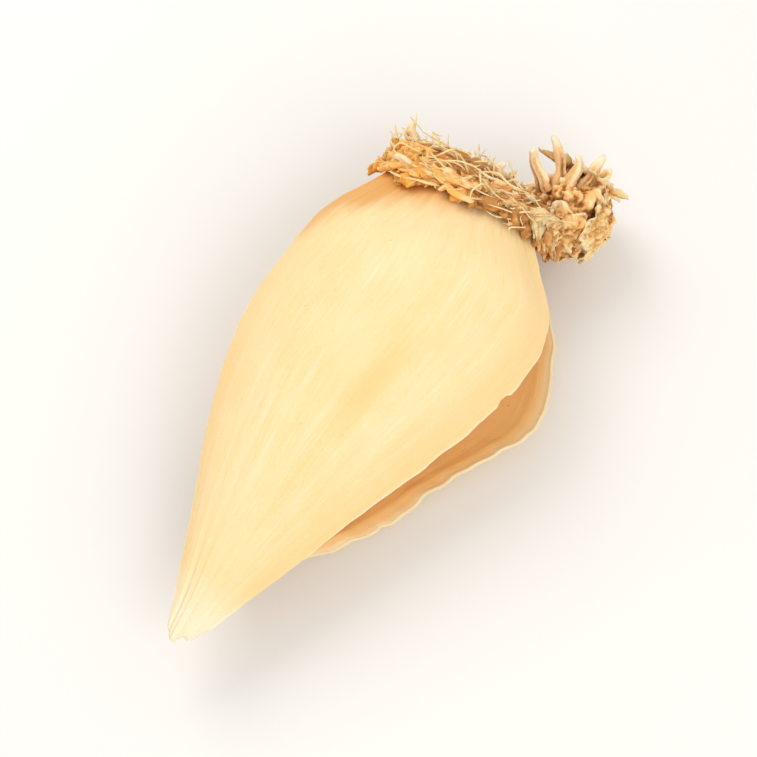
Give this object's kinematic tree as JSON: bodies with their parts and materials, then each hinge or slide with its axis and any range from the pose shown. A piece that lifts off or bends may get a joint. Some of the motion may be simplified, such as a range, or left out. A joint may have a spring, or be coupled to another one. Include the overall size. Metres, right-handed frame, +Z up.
{
  "type": "dried lily bulb heart",
  "caption": "Dried heart of a lily bulb: pale fleshy scales wrapped round each other on a crusty basal plate with short root stubs, lying on its side.",
  "frame": {"origin": "middle of the small flat spot that the back scale rests on, level with the surface below", "axes": "+Y along the bulb's axis from the tips to the basal plate, +Z up, away from the surface it lies on"},
  "size_m": [0.0219, 0.0474, 0.0128],
  "materials": {
    "scale_flesh": "satin, dried starchy flesh, cream to pale yellow",
    "inner_flesh": "satin, dried starchy flesh, honey to amber",
    "plate_and_roots": "rough, dry and fibrous, brown with pale root stubs"
  },
  "bodies": {
    "root": {"scale_front": "scale_flesh", "scale_back": "scale_flesh", "scale_right": "inner_flesh", "scale_left": "inner_flesh", "inner_scale_front": "inner_flesh", "inner_scale_back": "inner_flesh", "heart_bud": "scale_flesh", "basal_plate": "plate_and_roots"}
  },
  "joints": []
}
